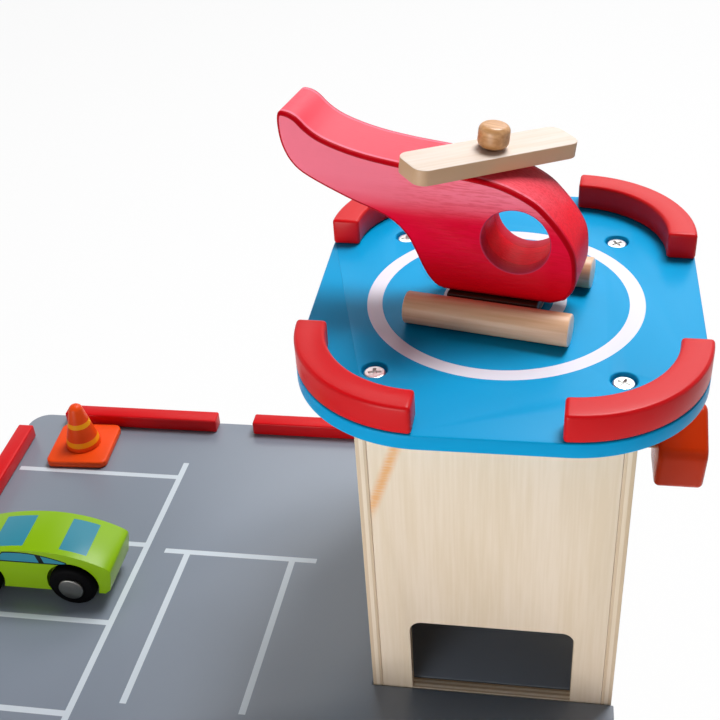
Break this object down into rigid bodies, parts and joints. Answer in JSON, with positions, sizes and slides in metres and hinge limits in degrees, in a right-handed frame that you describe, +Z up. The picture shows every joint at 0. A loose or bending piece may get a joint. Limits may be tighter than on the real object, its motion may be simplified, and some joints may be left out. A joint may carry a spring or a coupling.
{
  "type": "toy parking garage with lift",
  "caption": "Wooden toy parking garage with open storeys, a lift tower wound by a hand crank, a rooftop helipad, and a loose helicopter, car and traffic cone.",
  "frame": {"origin": "middle of the base board's underside, on the floor", "axes": "+Z up; +X from the parking decks towards the lift tower and its crank wheel; -Y is the open front"},
  "size_m": [0.3575, 0.237, 0.4578],
  "materials": {
    "plywood": "matt clear lacquer",
    "pale_wood": "matt clear lacquer",
    "grey_paint": "satin paint",
    "blue_paint": "satin paint",
    "red_paint": "gloss paint",
    "red_stain": "satin stain",
    "brown_stain": "satin stain",
    "orange_paint": "gloss paint",
    "cone_paint": "satin paint",
    "green_paint": "gloss paint",
    "black_rubber": "matt",
    "steel": "bright"
  },
  "bodies": {
    "garage": {"base_board": "grey_paint", "first_deck": "grey_paint", "roof_deck": "grey_paint", "left_wall_lower": "plywood", "left_wall_upper": "plywood", "back_wall_lower": "plywood", "back_wall_upper": "plywood", "middle_post_lower": "pale_wood", "middle_post_upper": "pale_wood", "right_post_lower": "pale_wood", "right_post_upper": "pale_wood", "tower_left_panel": "plywood", "tower_right_panel": "plywood", "tower_front_panel": "plywood", "tower_back_panel": "plywood", "helipad_board": "blue_paint", "helipad_rail_front_left": "red_paint", "helipad_rail_front_right": "red_paint", "helipad_rail_back_left": "red_paint", "helipad_rail_back_right": "red_paint", "helipad_screw_front_left": "steel", "helipad_screw_front_right": "steel", "helipad_screw_back_left": "steel", "helipad_screw_back_right": "steel", "kerb_back_left": "red_paint", "kerb_back_middle": "red_paint", "kerb_back_right": "red_paint", "kerb_front_left": "red_paint", "kerb_front_middle": "red_paint", "kerb_front_right": "red_paint", "kerb_left_back": "red_paint", "kerb_left_front": "red_paint", "kerb_right_front": "red_paint"},
    "lift": {"lift_platform": "grey_paint", "lift_upright_left": "plywood", "lift_upright_right": "plywood", "lift_crossbar": "plywood", "lift_eye": "steel"},
    "crank": {"crank_axle": "pale_wood", "axle_collar": "pale_wood", "cord_spool": "pale_wood", "crank_wheel": "orange_paint"},
    "helicopter": {"helicopter_body": "red_stain", "helicopter_skid_near": "pale_wood", "helicopter_skid_far": "pale_wood", "helicopter_crosspiece": "brown_stain", "rotor_knob": "pale_wood", "rotor_pin": "pale_wood"},
    "rotor": {"rotor_blade": "pale_wood"},
    "car": {"car_body": "green_paint"},
    "car_front_wheels": {"car_axle_front": "steel", "car_wheel_front_near": "black_rubber", "car_wheel_front_far": "black_rubber"},
    "car_rear_wheels": {"car_axle_rear": "steel", "car_wheel_rear_near": "black_rubber", "car_wheel_rear_far": "black_rubber"},
    "cone": {"traffic_cone": "cone_paint", "traffic_cone_base": "cone_paint"}
  },
  "joints": [
    {"name": "lift_slide", "type": "slide", "parent": "garage", "child": "lift", "axis": [0, 0, 1], "range_m": [-0.22, 0]},
    {"name": "crank_turn", "type": "hinge", "parent": "garage", "child": "crank", "pos_m": [0.111, 0.0225, 0.31], "axis": [1, 0, 0], "range_deg": [-901, 0]},
    {"name": "helicopter_lift_off", "type": "slide", "parent": "garage", "child": "helicopter", "axis": [0, 0, 1], "range_m": [0, 0.12]},
    {"name": "rotor_spin", "type": "hinge", "parent": "helicopter", "child": "rotor", "pos_m": [0.10499, 0.01992, 0.4391], "axis": [0.1126, 0.0309, 0.9932], "continuous": true},
    {"name": "car_roll", "type": "slide", "parent": "garage", "child": "car", "axis": [1, 0, 0], "range_m": [0, 0.1]},
    {"name": "car_front_wheels_turn", "type": "hinge", "parent": "car", "child": "car_front_wheels", "pos_m": [-0.132, -0.006, 0.2405], "axis": [0, 1, 0], "range_deg": [0, 505]},
    {"name": "car_rear_wheels_turn", "type": "hinge", "parent": "car", "child": "car_rear_wheels", "pos_m": [-0.0848, -0.006, 0.2405], "axis": [0, 1, 0], "range_deg": [0, 505]},
    {"name": "cone_lift_off", "type": "slide", "parent": "garage", "child": "cone", "axis": [0, 0, 1], "range_m": [0, 0.05]}
  ],
  "couplings": [
    {"joint": "crank_turn", "follows": "lift_slide", "rad_per_m": 71.429},
    {"joint": "car_front_wheels_turn", "follows": "car_roll", "rad_per_m": 87.719},
    {"joint": "car_rear_wheels_turn", "follows": "car_roll", "rad_per_m": 87.719}
  ]
}
